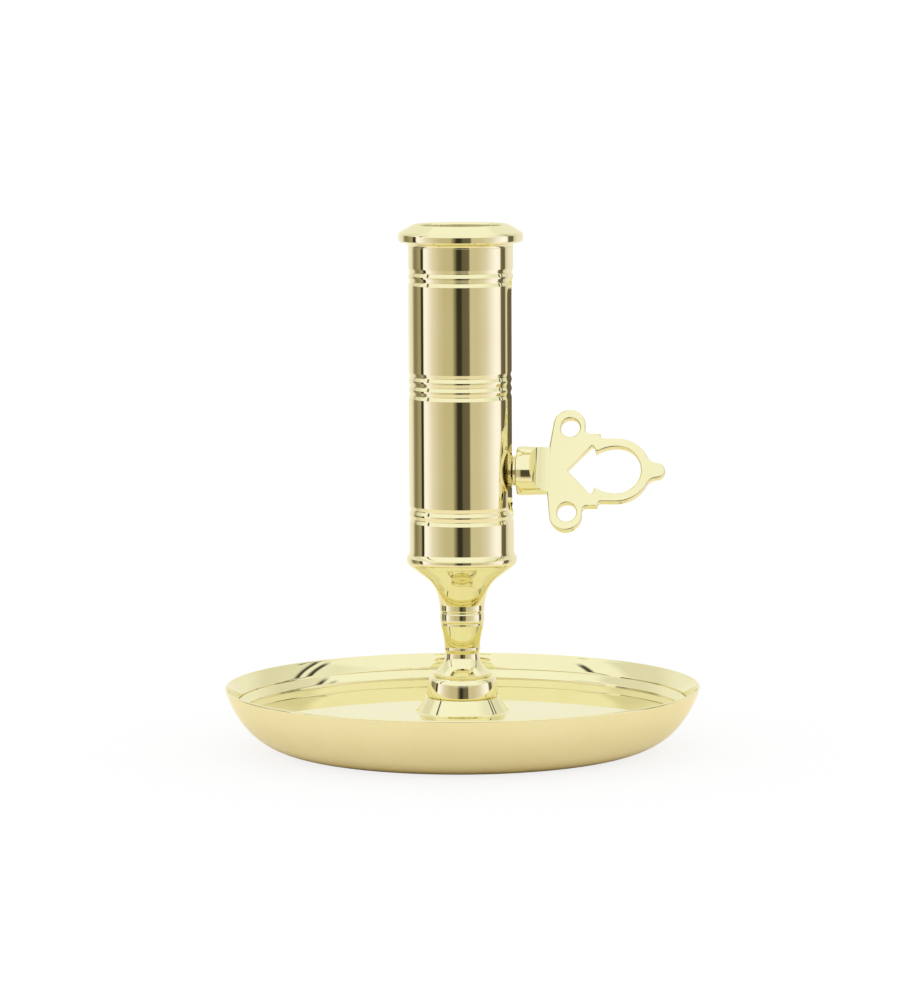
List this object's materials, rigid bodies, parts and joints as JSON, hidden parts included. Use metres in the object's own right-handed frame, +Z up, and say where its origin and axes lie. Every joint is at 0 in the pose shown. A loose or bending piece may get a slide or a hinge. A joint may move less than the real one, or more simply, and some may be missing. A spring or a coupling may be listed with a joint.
{
  "type": "candlestick",
  "caption": "Brass chamber candlestick: round drip pan, turned stem and slotted tube, with a sliding pusher that raises the candle and a flat looped handle on its stud.",
  "frame": {"origin": "centre of the pan's foot, on the surface it stands on", "axes": "+Z up along the tube's axis, +X towards the handle"},
  "size_m": [0.12, 0.12, 0.1326],
  "materials": {
    "polished_brass": "mirror polished",
    "turned_brass": "fine turned",
    "bright_steel": "bright turned"
  },
  "bodies": {
    "base": {"drip_pan": "polished_brass", "stem": "polished_brass", "candle_tube": "polished_brass", "nozzle_rim": "polished_brass", "base_washer": "bright_steel", "base_screw": "bright_steel"},
    "pusher": {"candle_pusher": "turned_brass", "handle_stud": "turned_brass", "slot_bush": "turned_brass"},
    "washer": {"stud_washer": "turned_brass"},
    "handle": {"handle": "polished_brass"}
  },
  "joints": [
    {"name": "pusher_slide", "type": "slide", "parent": "base", "child": "pusher", "axis": [0, 0, 1], "range_m": [-0.007, 0.044]},
    {"name": "washer_slide", "type": "slide", "parent": "pusher", "child": "washer", "axis": [1, 0, 0], "range_m": [-0.00028, 0.00072]},
    {"name": "handle_turn", "type": "hinge", "parent": "washer", "child": "handle", "pos_m": [0.01425, 0, 0.0706], "axis": [1, 0, 0], "range_deg": [-135, 360]}
  ],
  "couplings": [
    {"joint": "washer_slide", "follows": "handle_turn", "m_per_rad": 0.00011141}
  ]
}
